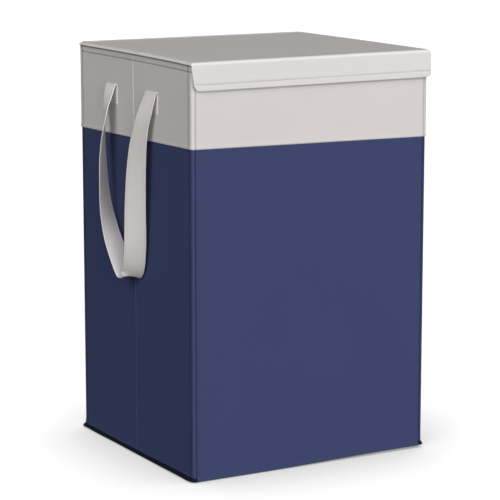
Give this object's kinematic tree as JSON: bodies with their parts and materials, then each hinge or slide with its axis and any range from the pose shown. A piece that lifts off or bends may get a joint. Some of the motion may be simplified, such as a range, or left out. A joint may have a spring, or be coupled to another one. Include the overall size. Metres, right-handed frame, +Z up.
{
  "type": "folding fabric storage bin",
  "caption": "Tall lidded fabric storage bin with stiffened folding walls, a front lid flap, a lift-up base board and webbing carry handles on both sides.",
  "frame": {"origin": "middle of the underside of the base fabric, where the bin stands on the floor", "axes": "+Z up, front faces -Y, +X to the right seen from the front"},
  "size_m": [0.462, 0.3708, 0.6],
  "materials": {
    "navy_fabric": "matte woven navy",
    "grey_fabric": "matte woven light grey",
    "lid_fabric": "matte woven light grey",
    "lining_fabric": "thin matte non-woven",
    "dark_binding": "bound seam tape",
    "dark_base_fabric": "matte non-woven",
    "strap_webbing": "matte woven webbing",
    "stiffener_board": "plain board"
  },
  "bodies": {
    "back_wall": {"back_board": "stiffener_board", "back_navy_panel": "navy_fabric", "back_grey_band": "grey_fabric", "back_lining": "lining_fabric", "back_bottom_binding": "dark_binding", "bottom_panel": "dark_base_fabric", "lid_hinge_strip": "lid_fabric"},
    "left_rear_half": {"left_rear_board": "stiffener_board", "left_rear_navy_panel": "navy_fabric", "left_rear_grey_band": "grey_fabric", "left_rear_lining": "lining_fabric", "left_rear_bottom_binding": "dark_binding", "left_strap_rear_end": "strap_webbing"},
    "left_rear_strap": {"left_strap_rear_leg": "strap_webbing"},
    "left_front_half": {"left_front_board": "stiffener_board", "left_front_navy_panel": "navy_fabric", "left_front_grey_band": "grey_fabric", "left_front_lining": "lining_fabric", "left_front_bottom_binding": "dark_binding", "left_strap_front_end": "strap_webbing"},
    "left_front_strap": {"left_strap_front_leg": "strap_webbing"},
    "right_rear_half": {"right_rear_board": "stiffener_board", "right_rear_navy_panel": "navy_fabric", "right_rear_grey_band": "grey_fabric", "right_rear_lining": "lining_fabric", "right_rear_bottom_binding": "dark_binding", "right_strap_rear_end": "strap_webbing"},
    "right_rear_strap": {"right_strap_rear_leg": "strap_webbing"},
    "right_front_half": {"right_front_board": "stiffener_board", "right_front_navy_panel": "navy_fabric", "right_front_grey_band": "grey_fabric", "right_front_lining": "lining_fabric", "right_front_bottom_binding": "dark_binding", "right_strap_front_end": "strap_webbing"},
    "right_front_strap": {"right_strap_front_leg": "strap_webbing"},
    "front_wall": {"front_board": "stiffener_board", "front_navy_panel": "navy_fabric", "front_grey_band": "grey_fabric", "front_lining": "lining_fabric", "front_bottom_binding": "dark_binding"},
    "lid": {"lid_cover": "lid_fabric", "lid_board": "stiffener_board", "lid_lining": "lining_fabric"},
    "lid_flap": {"lid_front_flap": "lid_fabric"},
    "base": {"base_board": "stiffener_board", "base_board_cover": "lining_fabric", "base_board_underside": "lining_fabric"}
  },
  "joints": [
    {"name": "fold", "type": "hinge", "parent": "back_wall", "child": "left_rear_half", "pos_m": [-0.1892, 0.1702, 0.3], "axis": [0, 0, 1], "range_deg": [0, 85], "deforming": ["bottom_panel", "front_bottom_binding", "left_rear_bottom_binding", "left_front_bottom_binding", "right_rear_bottom_binding", "right_front_bottom_binding", "left_strap_rear_leg", "left_strap_front_leg", "right_strap_rear_leg", "right_strap_front_leg"]},
    {"name": "left_crease", "type": "hinge", "parent": "left_rear_half", "child": "left_front_half", "pos_m": [-0.194, 0, 0.3], "axis": [0, 0, -1], "range_deg": [0, 170]},
    {"name": "left_front_corner", "type": "hinge", "parent": "left_front_half", "child": "front_wall", "pos_m": [-0.1892, -0.1702, 0.3], "axis": [0, 0, 1], "range_deg": [0, 85]},
    {"name": "right_rear_corner", "type": "hinge", "parent": "back_wall", "child": "right_rear_half", "pos_m": [0.1892, 0.1702, 0.3], "axis": [0, 0, -1], "range_deg": [0, 85]},
    {"name": "right_crease", "type": "hinge", "parent": "right_rear_half", "child": "right_front_half", "pos_m": [0.194, 0, 0.3], "axis": [0, 0, 1], "range_deg": [0, 170]},
    {"name": "lid_hinge", "type": "hinge", "parent": "back_wall", "child": "lid", "pos_m": [0, 0.1825, 0.597], "axis": [1, 0, 0], "range_deg": [-260, 0], "deforming": ["lid_hinge_strip"]},
    {"name": "lid_flap_hinge", "type": "hinge", "parent": "lid", "child": "lid_flap", "pos_m": [0, -0.185, 0.6004], "axis": [-1, 0, 0], "range_deg": [0, 180]},
    {"name": "base_board_hinge", "type": "hinge", "parent": "back_wall", "child": "base", "pos_m": [0, 0.1708, 0.0015], "axis": [-1, 0, 0], "range_deg": [0, 90]},
    {"name": "left_front_strap_swing", "type": "hinge", "parent": "left_front_half", "child": "left_front_strap", "pos_m": [-0.1968, 0, 0.549], "axis": [0, 1, 0], "range_deg": [0, 150]},
    {"name": "left_rear_strap_swing", "type": "hinge", "parent": "left_rear_half", "child": "left_rear_strap", "pos_m": [-0.1968, 0, 0.549], "axis": [0, 1, 0], "range_deg": [0, 150]},
    {"name": "right_front_strap_swing", "type": "hinge", "parent": "right_front_half", "child": "right_front_strap", "pos_m": [0.1968, 0, 0.549], "axis": [0, -1, 0], "range_deg": [0, 150]},
    {"name": "right_rear_strap_swing", "type": "hinge", "parent": "right_rear_half", "child": "right_rear_strap", "pos_m": [0.1968, 0, 0.549], "axis": [0, -1, 0], "range_deg": [0, 150]}
  ],
  "couplings": [
    {"joint": "left_crease", "follows": "fold", "ratio": 2},
    {"joint": "left_front_corner", "follows": "fold", "ratio": 1},
    {"joint": "right_rear_corner", "follows": "fold", "ratio": 1},
    {"joint": "right_crease", "follows": "fold", "ratio": 2},
    {"joint": "left_rear_strap_swing", "follows": "left_front_strap_swing", "ratio": 1},
    {"joint": "right_rear_strap_swing", "follows": "right_front_strap_swing", "ratio": 1}
  ]
}
